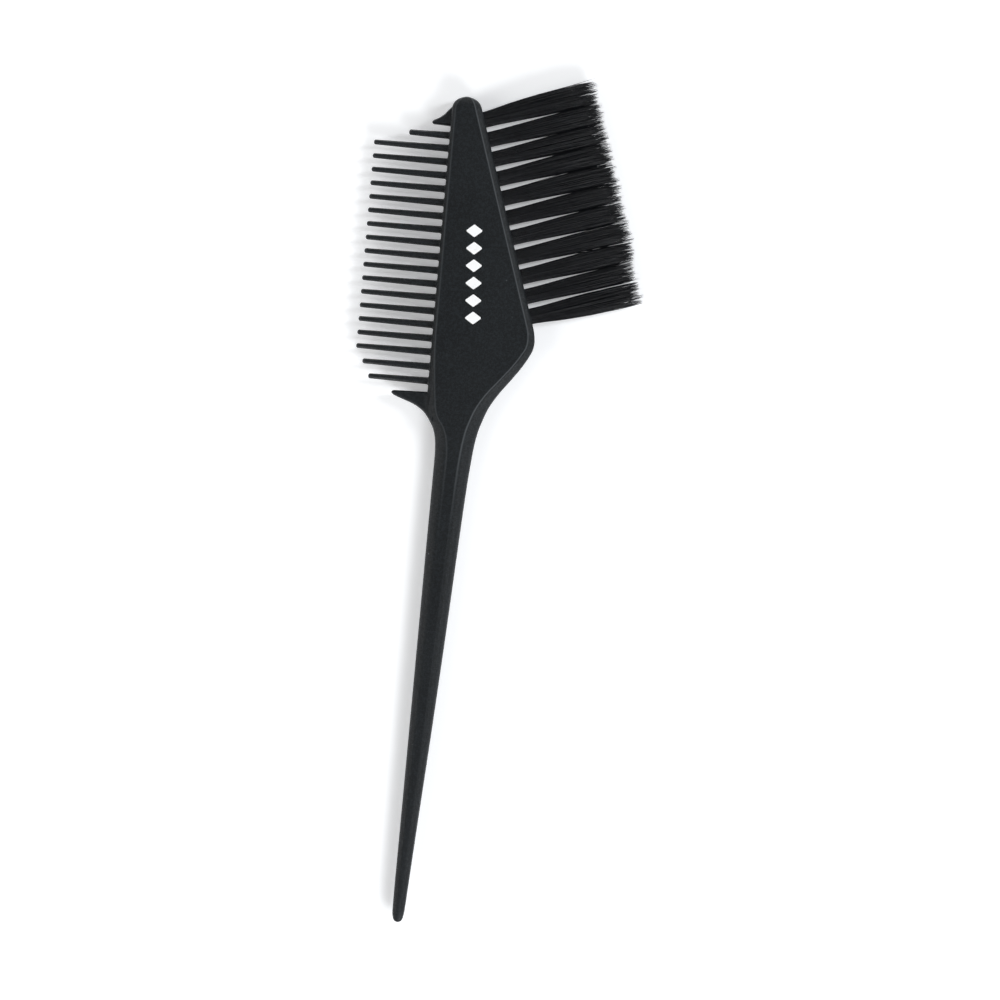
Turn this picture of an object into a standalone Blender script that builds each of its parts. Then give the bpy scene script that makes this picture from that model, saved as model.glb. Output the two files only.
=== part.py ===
"""Hair tint brush with a side comb, in metres, +Z up, lying flat on its underside.

One black moulding carries the tapered handle, the wedge-shaped head and a comb along the head's
left side. The head's right side is drilled with a row of blind holes. Each hole holds one tuft of
nylon filaments, folded in half round a flat steel anchor that is driven across the hole.

Frame: the origin is on the flat underside below the middle of the head. +Y runs along the handle
towards the nose of the head, +X towards the bristles, and -X towards the comb.
"""

import math

import bmesh
import bpy
from mathutils import Matrix, Vector

MM = 0.001  # dimensions are in millimetres, and meshes in metres

# ---------------------------------------------------------------- head
HEAD_THICKNESS = 7.6  # the head is a flat slab this thick, with its underside at Z = 0
MID = HEAD_THICKNESS / 2  # height of the moulding's parting plane
SPINE_X = -11.4  # the straight side of the head that the comb teeth grow from

# Tufted edge: a straight face, tilted from the handle's direction
EDGE_TILT = math.radians(18.2)
EDGE_START_X = 14.93  # its handle end, where the first tuft begins
EDGE_START_Y = -24.47
EDGE_START = Vector((EDGE_START_X, EDGE_START_Y))
EDGE_ALONG = Vector((-math.sin(EDGE_TILT), math.cos(EDGE_TILT)))  # towards the nose
EDGE_OUT = Vector((math.cos(EDGE_TILT), math.sin(EDGE_TILT)))

# ---------------------------------------------------------------- holes and anchors
TUFTS = 11  # numbered from the handle towards the nose
TUFT_PITCH = 5.36
HOLE_RADIUS = 2.25
HOLE_DEPTH = 7.0
HOLE_OVERRUN = 3.0  # how far the hole's cutter stands out of the edge
HOLE_SIDES = 20

ANCHOR_BITE = 0.45  # how far each end is driven into the wall of the hole
ANCHOR_LENGTH = 2 * (HOLE_RADIUS + ANCHOR_BITE)
ANCHOR_HEIGHT = 1.6  # along the hole
ANCHOR_GAUGE = 0.45
ANCHOR_DEPTH = 4.9  # its middle, below the mouth of the hole
ANCHOR_EDGE_BREAK = 0.06
POCKET_GAP = 0.1  # between the anchor and the moulding, all round
WINDOW_GAP = 0.15  # between the anchor and the tuft, all round

# ---------------------------------------------------------------- tufts
TUFT_RADIUS = 2.1  # packed bundle in its hole
TUFT_HALF_WIDTH = 2.52  # along the row, where neighbours nearly meet
TUFT_HALF_DEPTH = 3.1  # across the row, at its fullest
TUFT_SIDES = 16
BRISTLE_LENGTH = 30.5  # clear length outside the hole
TUFT_TRIM = {1: 0.9, 2: 1.0, 3: 0.4}  # tuft number: how much shorter it is

# A tuft at distances from the mouth of its hole, negative inside:
# (distance, half-width along the row, half-depth across it, squareness of its outline,
#  how much wider the two tufts at the row's ends are on the side with no neighbour)
TUFT_STATIONS = (
    (-6.5, 1.15, 1.15, 2.0, 0.0),
    (-6.25, 1.7, 1.7, 2.0, 0.0),
    (-5.6, TUFT_RADIUS, TUFT_RADIUS, 2.0, 0.0),
    (0.6, TUFT_RADIUS, TUFT_RADIUS, 2.0, 0.1),
    (6.0, 2.22, 2.45, 2.3, 0.6),
    (12.0, 2.37, 2.78, 2.6, 0.75),
    (19.0, TUFT_HALF_WIDTH, TUFT_HALF_DEPTH, 3.0, 0.85),
    (25.0, TUFT_HALF_WIDTH, 3.05, 3.0, 0.95),
    (28.4, TUFT_HALF_WIDTH, 2.25, 3.0, 1.0),
    (BRISTLE_LENGTH, TUFT_HALF_WIDTH - 0.06, 1.0, 3.0, 1.0),
)

# ---------------------------------------------------------------- comb
TEETH = 19  # numbered from the nose towards the handle
TOOTH_PITCH = 3.623
TOOTH_FIRST_Y = 24.3
TOOTH_TIP_X = -31.4
TOOTH_ROOT_HALF = 0.96  # half-widths
TOOTH_TIP_HALF = 0.65
TOOTH_SIDES = 6
TOOTH_DEPTH_RATIO = 2.3  # a tooth is deeper than wide, and thins towards both faces
TOOTH_END_BEVEL = 0.34
TOOTH_BURY = 1.6  # length of each tooth sunk into the spine before they are joined
SHORT_TEETH = {1: -22.3, 18: -29.4, 19: -27.5}  # tooth number: X of its tip
TOOTH_SHIFT = {1: -0.2, 18: -0.3, 19: -0.5}  # tooth number: how far in Y it is off the pitch

# Outlines of the two end guards of the comb, in plan: (X, Y)
LOWER_GUARD = (
    (-9.6, -44.3), (-20.45, -44.62), (-20.85, -44.78), (-21.0, -45.15), (-20.8, -45.52),
    (-20.3, -45.85), (-18.1, -46.72), (-15.1, -47.76), (-12.95, -48.95), (-11.5, -50.25),
    (-10.3, -51.8), (-9.0, -52.5),
)
UPPER_GUARD = (
    (-9.6, 26.6), (-9.6, 32.3), (-11.2, 31.9), (-12.2, 30.9), (-13.3, 29.6), (-14.7, 28.5),
    (-15.95, 27.85), (-16.3, 27.6), (-16.4, 27.25), (-16.25, 26.9), (-15.9, 26.75),
)
GUARD_THICKNESS = 3.4
GUARD_ROUND = 0.3

# ---------------------------------------------------------------- the moulding's sections
# Its plan and thickness at stations along Y, from the nose to the tail:
# (Y, X of the left side, X of the right side, thickness,
#  width of the rounding at left, width of the rounding at right, height of the rounding)
STATIONS = (
    (34.6, -8.30, -6.90, 3.6, 0.5, 0.5, 1.5),
    (34.3, -9.20, -5.90, 5.0, 0.9, 0.9, 1.6),
    (33.7, -10.20, -4.85, 6.3, 1.0, 1.3, 1.5),
    (32.8, -10.95, -4.05, 7.2, 1.0, 1.6, 1.3),
    (31.6, -11.35, -3.50, HEAD_THICKNESS, 0.9, 1.7, 1.1),
    (30.0, SPINE_X, -2.98, HEAD_THICKNESS, 0.9, 1.7, 1.1),
    (-20.0, SPINE_X, 13.46, HEAD_THICKNESS, 0.9, 1.7, 1.1),
    (EDGE_START_Y, SPINE_X, EDGE_START_X, HEAD_THICKNESS, 0.9, 1.7, 1.1),
    (-26.9, SPINE_X, 15.58, HEAD_THICKNESS, 0.9, 1.7, 1.1),
    (-28.9, SPINE_X, 15.78, HEAD_THICKNESS, 0.9, 1.8, 1.15),
    (-30.7, SPINE_X, 15.55, HEAD_THICKNESS, 1.0, 1.9, 1.2),
    (-32.2, SPINE_X, 14.95, HEAD_THICKNESS, 1.0, 2.1, 1.3),
    (-35.6, SPINE_X, 13.05, 7.5, 1.2, 2.4, 1.5),
    (-39.5, SPINE_X, 10.30, 7.4, 1.5, 2.7, 1.7),
    (-43.8, SPINE_X, 7.15, 7.2, 1.9, 3.0, 2.0),
    (-47.3, -11.38, 5.10, 7.0, 2.3, 3.1, 2.2),
    (-49.2, -11.22, 4.33, 6.9, 2.5, 3.2, 2.3),
    (-51.1, -10.72, 3.66, 6.8, 2.7, 3.2, 2.4),
    (-53.2, -9.40, 3.00, 6.7, 2.9, 3.2, 2.5),
    (-55.8, -8.48, 2.45, 6.6, 3.0, 3.2, 2.5),
    (-58.5, -8.10, 2.05, 6.5, 3.1, 3.2, 2.5),
    (-61.5, -8.00, 1.75, 6.45, 3.2, 3.2, 2.5),
    (-67.5, -8.03, 1.25, 6.3, 3.1, 3.1, 2.5),
    (-85.0, -8.15, 0.25, 6.1, 2.9, 2.9, 2.4),
    (-105.0, -8.25, -0.80, 5.8, 2.6, 2.6, 2.3),
    (-132.0, -8.40, -2.36, 5.2, 2.1, 2.1, 2.1),
    (-163.0, -8.58, -4.33, 4.2, 1.6, 1.6, 1.7),
    (-178.0, -8.68, -5.25, 3.6, 1.4, 1.4, 1.5),
    (-182.6, -8.66, -5.55, 3.3, 1.3, 1.3, 1.4),
    (-184.5, -8.35, -5.90, 2.7, 1.1, 1.1, 1.2),
    (-185.4, -7.85, -6.40, 1.7, 0.7, 0.7, 0.8),
)
# Y of further sections, interpolated between the stations
EXTRA_Y = (
    -22.5, -25.7, -28.0, -29.8, -31.4, -33.8, -37.5, -41.6, -45.6, -52.1, -54.4,
    -57.0, -64.0, -75.0, -95.0, -118.0, -147.0,
)
CORNER_STEPS = 3
MAX_ROUND_SHARE = 0.48  # a rounding takes at most this share of the section's side


# ---------------------------------------------------------------- scene, collections and materials
for old in list(bpy.data.objects):
    bpy.data.objects.remove(old, do_unlink=True)


def new_collection(name):
    made = bpy.data.collections.new(name)
    bpy.context.scene.collection.children.link(made)
    return made


BRUSH = new_collection("tint_brush")
CUTTERS = new_collection("cutters_and_joined_shapes")


def material(name, colour, roughness, metallic=0.0):
    made = bpy.data.materials.new(name)
    made.use_nodes = True
    shader = made.node_tree.nodes["Principled BSDF"]
    shader.inputs["Base Color"].default_value = (*colour, 1.0)
    shader.inputs["Roughness"].default_value = roughness
    shader.inputs["Metallic"].default_value = metallic
    return made


BLACK_PLASTIC = material(
    "black_moulded_plastic", colour=(0.018, 0.020, 0.022), roughness=0.5
)
BLACK_NYLON = material("black_nylon", colour=(0.010, 0.010, 0.012), roughness=0.42)
ANCHOR_STEEL = material(
    "anchor_steel", colour=(0.62, 0.60, 0.55), roughness=0.32, metallic=1.0
)


# ---------------------------------------------------------------- mesh and object helpers
def add_object(name, mesh, collection, surface=None):
    made = bpy.data.objects.new(name, mesh)
    collection.objects.link(made)
    if surface is not None:
        mesh.materials.append(surface)
    if collection is CUTTERS:
        made.hide_render = True
        made.display_type = "WIRE"
    return made


def finish_mesh(bm, name):
    bmesh.ops.recalc_face_normals(bm, faces=bm.faces)
    mesh = bpy.data.meshes.new(name)
    bm.to_mesh(mesh)
    bm.free()
    return mesh


def loft(sections, name):
    """A closed solid through sections of the same number of points."""
    bm = bmesh.new()
    rings = [[bm.verts.new(point * MM) for point in section] for section in sections]
    count = len(rings[0])
    for ring, following in zip(rings, rings[1:]):
        for i in range(count):
            j = (i + 1) % count
            bm.faces.new((ring[i], ring[j], following[j], following[i]))
    bm.faces.new(rings[0])
    bm.faces.new(list(reversed(rings[-1])))
    return finish_mesh(bm, name)


def evaluated_mesh(source):
    """A new mesh of an object as its modifiers or curve settings shape it."""
    bpy.context.view_layer.update()
    graph = bpy.context.evaluated_depsgraph_get()
    return bpy.data.meshes.new_from_object(source.evaluated_get(graph), depsgraph=graph)


def combine(target, other, operation):
    """Join or cut the target with another object, and keep the result as its mesh."""
    modifier = target.modifiers.new(operation.lower(), "BOOLEAN")
    modifier.operation = operation
    modifier.solver = "EXACT"
    modifier.object = other
    mesh = evaluated_mesh(target)
    target.modifiers.clear()
    target.data = mesh


def shade(target, sharp_degrees):
    """Smooth shading, except over edges that turn by more than this angle."""
    target.data.shade_smooth()
    target.data.set_sharp_from_angle(angle=math.radians(sharp_degrees))


# ---------------------------------------------------------------- curves through the stations
def monotone_slopes(ys, values):
    """Slopes of a monotone cubic through the points, so it never overshoots a station."""
    steps = [
        (values[i + 1] - values[i]) / (ys[i + 1] - ys[i]) for i in range(len(ys) - 1)
    ]
    inner = [
        0.0 if before * after <= 0 else 2 * before * after / (before + after)
        for before, after in zip(steps, steps[1:])
    ]
    return [steps[0], *inner, steps[-1]]


def station_curve(column):
    """A function of Y that runs smoothly through one column of the stations."""
    rows = sorted(STATIONS)
    ys = [row[0] for row in rows]
    values = [row[column] for row in rows]
    slopes = monotone_slopes(ys, values)

    def value_at(y):
        i = max(k for k in range(len(ys) - 1) if ys[k] <= y or k == 0)
        span = ys[i + 1] - ys[i]
        t = (y - ys[i]) / span
        return (
            (2 * t**3 - 3 * t**2 + 1) * values[i]
            + (t**3 - 2 * t**2 + t) * span * slopes[i]
            + (3 * t**2 - 2 * t**3) * values[i + 1]
            + (t**3 - t**2) * span * slopes[i + 1]
        )

    return value_at


STATION_CURVES = [station_curve(column) for column in range(1, len(STATIONS[0]))]


def moulding_section(y):
    """The closed outline at one Y: a rectangle with an elliptical rounding at each corner."""
    left, right, thick, round_left, round_right, round_z = (
        curve(y) for curve in STATION_CURVES
    )
    widest_round = MAX_ROUND_SHARE * (right - left)
    round_left = min(round_left, widest_round)
    round_right = min(round_right, widest_round)
    round_z = min(round_z, MAX_ROUND_SHARE * thick)
    low = MID - thick / 2 + round_z
    high = MID + thick / 2 - round_z
    # centre X, centre Z, width of the rounding, angle it starts at
    corners = (
        (right - round_right, high, round_right, 0),
        (left + round_left, high, round_left, 90),
        (left + round_left, low, round_left, 180),
        (right - round_right, low, round_right, 270),
    )
    points = []
    for centre_x, centre_z, round_x, start in corners:
        for step in range(CORNER_STEPS + 1):
            angle = math.radians(start + 90 * step / CORNER_STEPS)
            x = centre_x + round_x * math.cos(angle)
            z = centre_z + round_z * math.sin(angle)
            points.append(Vector((x, y, z)))
    return points


# ---------------------------------------------------------------- comb shapes
def guard_shape(name, outline):
    """A plate of this plan with rounded edges, centred on the parting plane."""
    curve = bpy.data.curves.new(name, "CURVE")
    curve.dimensions = "2D"
    curve.fill_mode = "BOTH"
    curve.extrude = (GUARD_THICKNESS / 2 - GUARD_ROUND) * MM
    curve.bevel_depth = GUARD_ROUND * MM
    curve.bevel_resolution = 1
    curve.offset = -GUARD_ROUND * MM  # brings the bevelled plate back to its outline
    spline = curve.splines.new("POLY")
    spline.points.add(len(outline) - 1)
    for point, (x, y) in zip(spline.points, outline):
        point.co = (x * MM, y * MM, 0, 1)
    spline.use_cyclic_u = True
    guide = bpy.data.objects.new(name + "_curve", curve)
    CUTTERS.objects.link(guide)
    guide.location.z = MID * MM
    mesh = evaluated_mesh(guide)
    mesh.transform(guide.matrix_world)
    bpy.data.objects.remove(guide)
    # weld the curve's separate faces into one closed solid
    bm = bmesh.new()
    bm.from_mesh(mesh)
    bmesh.ops.remove_doubles(bm, verts=bm.verts, dist=1e-6)
    bmesh.ops.dissolve_degenerate(bm, dist=1e-6, edges=bm.edges)
    return add_object(name, finish_mesh(bm, name), CUTTERS)


def tooth_shape(number):
    """A tapered six-sided bar with a rounded end, widest on the parting plane."""
    tip_x = SHORT_TEETH.get(number, TOOTH_TIP_X)
    y = TOOTH_FIRST_Y - TOOTH_PITCH * (number - 1) + TOOTH_SHIFT.get(number, 0.0)
    root_x = SPINE_X + TOOTH_BURY
    # a short tooth has tapered less by its tip
    share = (SPINE_X - tip_x) / (SPINE_X - TOOTH_TIP_X)
    tip_half = TOOTH_ROOT_HALF + (TOOTH_TIP_HALF - TOOTH_ROOT_HALF) * share**0.5
    bm = bmesh.new()
    bmesh.ops.create_cone(
        bm, cap_ends=True, segments=TOOTH_SIDES, radius1=TOOTH_ROOT_HALF,
        radius2=tip_half, depth=root_x - tip_x,
    )
    tip_edges = [e for e in bm.edges if all(v.co.z > 0 for v in e.verts)]
    bmesh.ops.bevel(
        bm, geom=tip_edges, offset=TOOTH_END_BEVEL, offset_type="OFFSET", segments=2,
        profile=0.5, affect="EDGES",
    )
    bmesh.ops.scale(bm, vec=(TOOTH_DEPTH_RATIO, 1, 1), verts=bm.verts)
    turn = Matrix.Rotation(math.radians(-90), 4, "Y")  # points the tip along -X
    shift = Matrix.Translation(((root_x + tip_x) / 2, y, MID))
    bmesh.ops.transform(bm, matrix=Matrix.Scale(MM, 4) @ shift @ turn, verts=bm.verts)
    return add_object(f"tooth_shape_{number:02d}", finish_mesh(bm, "tooth"), CUTTERS)


# ---------------------------------------------------------------- holes and anchors
def hole_matrix(number):
    """Axes at the mouth of a hole: X up, Y along the row to the handle, Z out of the hole."""
    mouth = EDGE_START + EDGE_ALONG * TUFT_PITCH * (number - 0.5)
    axes = Matrix(
        (
            (0, -EDGE_ALONG.x, EDGE_OUT.x),
            (0, -EDGE_ALONG.y, EDGE_OUT.y),
            (1, 0, 0),
        )
    ).to_4x4()
    return Matrix.Translation((mouth.x * MM, mouth.y * MM, MID * MM)) @ axes


def hole_shape(number):
    """The blind hole that a tuft stands in."""
    bm = bmesh.new()
    bmesh.ops.create_cone(
        bm, cap_ends=True, segments=HOLE_SIDES, radius1=HOLE_RADIUS * MM,
        radius2=HOLE_RADIUS * MM, depth=(HOLE_DEPTH + HOLE_OVERRUN) * MM,
    )
    middle = (HOLE_OVERRUN - HOLE_DEPTH) / 2 * MM
    bmesh.ops.translate(bm, vec=(0, 0, middle), verts=bm.verts)
    hole = add_object(f"hole_shape_{number:02d}", finish_mesh(bm, "hole"), CUTTERS)
    hole.matrix_world = hole_matrix(number)
    return hole


def anchor_box(prefix, number, gap=0.0, collection=CUTTERS, surface=None):
    """A box in an anchor's place, larger than the anchor by the gap on every side."""
    name = f"{prefix}_{number:02d}"
    bm = bmesh.new()
    bmesh.ops.create_cube(bm, size=1.0)
    size = Vector((ANCHOR_LENGTH, ANCHOR_GAUGE, ANCHOR_HEIGHT)) + Vector((2 * gap,) * 3)
    bmesh.ops.scale(bm, vec=size * MM, verts=bm.verts)
    made = add_object(name, finish_mesh(bm, name), collection, surface)
    sink = Matrix.Translation((0, 0, -ANCHOR_DEPTH * MM))
    made.matrix_world = hole_matrix(number) @ sink
    return made


# ---------------------------------------------------------------- the pieces
def build_moulding():
    ys = sorted({row[0] for row in STATIONS} | set(EXTRA_Y), reverse=True)
    name = "handle_and_comb"
    mesh = loft([moulding_section(y) for y in ys], name)
    moulding = add_object(name, mesh, BRUSH, BLACK_PLASTIC)
    for number in range(1, TEETH + 1):
        combine(moulding, tooth_shape(number), "UNION")
    combine(moulding, guard_shape("lower_guard_shape", LOWER_GUARD), "UNION")
    combine(moulding, guard_shape("upper_guard_shape", UPPER_GUARD), "UNION")
    for number in range(1, TUFTS + 1):
        combine(moulding, hole_shape(number), "DIFFERENCE")
        combine(moulding, anchor_box("pocket_shape", number, POCKET_GAP), "DIFFERENCE")
    shade(moulding, sharp_degrees=32)


def tuft_section(number, distance, half_width, half_depth, squareness, flare):
    """One superellipse outline of a tuft, in the axes of its hole."""
    if distance > 0:
        distance *= 1 - TUFT_TRIM.get(number, 0.0) / BRISTLE_LENGTH
    towards_handle = half_width + (flare if number == 1 else 0.0)
    towards_nose = half_width + (flare if number == TUFTS else 0.0)
    points = []
    for i in range(TUFT_SIDES):
        angle = 2 * math.pi * (i + 0.5) / TUFT_SIDES
        cosine, sine = math.cos(angle), math.sin(angle)
        reach = towards_handle if sine > 0 else towards_nose
        x = math.copysign(abs(cosine) ** (2 / squareness), cosine) * half_depth
        y = math.copysign(abs(sine) ** (2 / squareness), sine) * reach
        points.append(Vector((x, y, distance)))
    return points


def build_tuft(number):
    """A tuft with a window through its folded end for the anchor."""
    mesh = loft([tuft_section(number, *row) for row in TUFT_STATIONS], "bristle_tuft")
    tuft = add_object(f"bristle_tuft_{number:02d}", mesh, BRUSH, BLACK_NYLON)
    tuft.matrix_world = hole_matrix(number)
    combine(tuft, anchor_box("window_shape", number, WINDOW_GAP), "DIFFERENCE")
    shade(tuft, sharp_degrees=35)


def build_anchor(number):
    anchor = anchor_box("tuft_anchor", number, collection=BRUSH, surface=ANCHOR_STEEL)
    edge = anchor.modifiers.new("broken_edges", "BEVEL")
    edge.width = ANCHOR_EDGE_BREAK * MM
    edge.segments = 1


build_moulding()
for tuft_number in range(1, TUFTS + 1):
    build_tuft(tuft_number)
    build_anchor(tuft_number)
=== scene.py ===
"""Looks of the hair tint brush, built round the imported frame.

One black moulding (handle, head and comb) with a fine grained surface, a row of tufts of black
nylon filaments, each filament folded in half round a flat steel anchor, and a white printed motif.
Lengths are in millimetres until a mesh is made, in the frame's own axes: +Y from the tail to the
nose, +X (right) towards the bristles, -X (left) towards the comb, and +Z up from the underside.
"""

import math

import bmesh
import bpy
import numpy as np
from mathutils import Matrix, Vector


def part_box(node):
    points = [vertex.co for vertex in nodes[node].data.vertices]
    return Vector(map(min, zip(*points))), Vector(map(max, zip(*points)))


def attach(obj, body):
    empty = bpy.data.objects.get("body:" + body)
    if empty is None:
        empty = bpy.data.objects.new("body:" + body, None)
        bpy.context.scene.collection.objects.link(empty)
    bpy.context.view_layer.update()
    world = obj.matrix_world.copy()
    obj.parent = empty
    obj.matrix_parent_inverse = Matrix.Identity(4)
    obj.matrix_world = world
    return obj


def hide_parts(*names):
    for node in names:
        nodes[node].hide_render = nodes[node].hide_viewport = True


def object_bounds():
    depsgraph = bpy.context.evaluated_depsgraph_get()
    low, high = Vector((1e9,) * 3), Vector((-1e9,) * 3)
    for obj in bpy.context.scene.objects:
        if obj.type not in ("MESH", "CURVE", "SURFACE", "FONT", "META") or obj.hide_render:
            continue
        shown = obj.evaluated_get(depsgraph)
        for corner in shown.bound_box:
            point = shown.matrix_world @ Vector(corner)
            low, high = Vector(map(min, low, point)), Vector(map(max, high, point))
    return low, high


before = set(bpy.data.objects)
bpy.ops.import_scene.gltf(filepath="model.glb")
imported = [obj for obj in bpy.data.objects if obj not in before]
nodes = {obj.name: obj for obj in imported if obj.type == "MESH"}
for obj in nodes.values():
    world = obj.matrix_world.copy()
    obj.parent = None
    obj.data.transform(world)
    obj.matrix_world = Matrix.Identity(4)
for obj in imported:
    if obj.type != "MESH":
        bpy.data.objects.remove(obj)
cad_low, cad_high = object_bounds()

MM = 0.001
body_low, body_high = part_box("handle_and_comb")
MID = (body_high.z + body_low.z) / 2 / MM  # height of the parting plane
TOP = body_high.z / MM
GOLDEN_ANGLE = math.pi * (3 - math.sqrt(5))


# ------------------------------------------------------------------------------ geometry tools
def pchip(xs, values):
    """A monotone cubic through the points, so that an outline never swings past a station."""
    xs, values = np.asarray(xs, float), np.asarray(values, float)
    order = np.argsort(xs)
    xs, values = xs[order], values[order]
    gaps = np.diff(xs)
    slopes = np.diff(values) / gaps
    tangents = np.empty(len(xs))
    tangents[0], tangents[-1] = slopes[0], slopes[-1]
    for i in range(1, len(xs) - 1):
        before, after = slopes[i - 1], slopes[i]
        tangents[i] = 0.0 if before * after <= 0 else 2 * before * after / (before + after)

    def value(x):
        x = np.clip(x, xs[0], xs[-1])
        i = np.clip(np.searchsorted(xs, x, side="right") - 1, 0, len(gaps) - 1)
        t = (x - xs[i]) / gaps[i]
        return (
            (2 * t**3 - 3 * t**2 + 1) * values[i]
            + (t**3 - 2 * t**2 + t) * gaps[i] * tangents[i]
            + (3 * t**2 - 2 * t**3) * values[i + 1]
            + (t**3 - t**2) * gaps[i] * tangents[i + 1]
        )

    return value


def smoothstep(x):
    x = np.clip(x, 0.0, 1.0)
    return x * x * (3 - 2 * x)


def mesh_from(name, verts, faces):
    mesh = bpy.data.meshes.new(name)
    mesh.from_pydata([tuple(v) for v in np.asarray(verts, float) * MM], [], faces)
    mesh.update()
    return mesh


def face_outwards(mesh, recalculate=True):
    """Turns a closed mesh's faces outwards, evening them out first if asked to."""
    bm = bmesh.new()
    bm.from_mesh(mesh)
    if recalculate:
        bmesh.ops.recalc_face_normals(bm, faces=bm.faces)
    if bm.calc_volume(signed=True) < 0:
        bmesh.ops.reverse_faces(bm, faces=bm.faces)
    bm.to_mesh(mesh)
    bm.free()
    mesh.update()


def lofted(rings):
    """Vertices and faces of a closed solid through rings of the same number of points."""
    rings = np.asarray(rings, float)
    count, size, _ = rings.shape
    faces = []
    for ring in range(count - 1):
        here, after = ring * size, (ring + 1) * size
        for i in range(size):
            j = (i + 1) % size
            faces.append((here + i, here + j, after + j, after + i))
    faces.append(tuple(range(size - 1, -1, -1)))
    faces.append(tuple(range((count - 1) * size, count * size)))
    return rings.reshape(-1, 3), faces


def gathered(solids):
    """Several closed solids as one list of vertices and faces."""
    verts, faces, base = [], [], 0
    for solid_verts, solid_faces in solids:
        verts.append(solid_verts)
        faces += [tuple(i + base for i in face) for face in solid_faces]
        base += len(solid_verts)
    return np.vstack(verts), faces


def new_object(name, data):
    made = bpy.data.objects.new(name, data)
    bpy.context.scene.collection.objects.link(made)
    return made


def solid_object(name, solids):
    mesh = mesh_from(name, *gathered(solids))
    face_outwards(mesh)
    return new_object(name, mesh)


def combine(target, solids, operation):
    """Joins or cuts target with closed solids that don't touch each other."""
    other = solid_object("tool_shape", solids)
    modifier = target.modifiers.new("join", "BOOLEAN")
    modifier.operation, modifier.solver, modifier.object = operation, "EXACT", other
    bpy.context.view_layer.update()
    graph = bpy.context.evaluated_depsgraph_get()
    mesh = bpy.data.meshes.new_from_object(target.evaluated_get(graph), depsgraph=graph)
    target.modifiers.clear()
    target.data = mesh
    bpy.data.objects.remove(other)


def mesh_points(mesh):
    return np.array([v.co for v in mesh.vertices], float) / MM


# ------------------------------------------------------------------------------ materials
class Nodes:
    """A short way to write the node tree of a material or a world."""

    def __init__(self, owner):
        owner.use_nodes = True
        self.owner = owner
        self.tree = owner.node_tree
        self.coordinates = self.add("ShaderNodeTexCoord").outputs
        self.place = self.coordinates["Object"]

    def feed(self, socket, value):
        """Links a socket to another, or gives it a plain value."""
        if isinstance(value, bpy.types.NodeSocket):
            self.tree.links.new(value, socket)
        elif isinstance(value, tuple) and socket.type == "RGBA":
            socket.default_value = (*value, 1.0)
        else:
            socket.default_value = value

    def add(self, kind, inputs=None, **settings):
        node = self.tree.nodes.new(kind)
        for key, value in settings.items():
            setattr(node, key, value)
        for key, value in (inputs or {}).items():
            self.feed(node.inputs[key], value)
        return node

    def noise(self, scale, detail=2.0, rough=0.5, vector=None):
        inputs = {
            "Scale": scale, "Detail": detail, "Roughness": rough, "Vector": vector or self.place,
        }
        return self.add("ShaderNodeTexNoise", inputs).outputs["Fac"]

    def remap(self, value, span, to=(0.0, 1.0)):
        inputs = {
            "From Min": span[0], "From Max": span[1], "To Min": to[0], "To Max": to[1],
            "Value": value,
        }
        node = self.add("ShaderNodeMapRange", inputs, interpolation_type="SMOOTHSTEP")
        return node.outputs["Result"]

    def maths(self, operation, first, second):
        node = self.add("ShaderNodeMath", {0: first, 1: second}, operation=operation)
        return node.outputs["Value"]

    def mix(self, factor, under, over):
        """Mixes two colours; inputs 6 and 7 and output 2 are the node's colour sockets."""
        node = self.add("ShaderNodeMix", {0: factor, 6: under, 7: over}, data_type="RGBA")
        return node.outputs[2]

    def bump(self, height, strength, distance, before=None):
        inputs = {"Strength": strength, "Distance": distance, "Height": height}
        if before is not None:
            inputs["Normal"] = before
        return self.add("ShaderNodeBump", inputs).outputs["Normal"]

    def edges(self, radius, span):
        """1 on corners of the surface and 0 on its flats, from how far a rounded normal leans."""
        rounded = self.add("ShaderNodeBevel", {"Radius": radius}, samples=6)
        plain = self.add("ShaderNodeNewGeometry")
        normals = {0: rounded.outputs["Normal"], 1: plain.outputs["Normal"]}
        dot = self.add("ShaderNodeVectorMath", normals, operation="DOT_PRODUCT")
        return self.remap(dot.outputs["Value"], span)

    def finish(self, **sockets):
        """Feeds the main shader's sockets and hands back the material."""
        shader = self.tree.nodes["Principled BSDF"]
        for key, value in sockets.items():
            self.feed(shader.inputs[key.replace("_", " ")], value)
        return self.owner


def material_nodes(name):
    return Nodes(bpy.data.materials.new(name))


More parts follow.
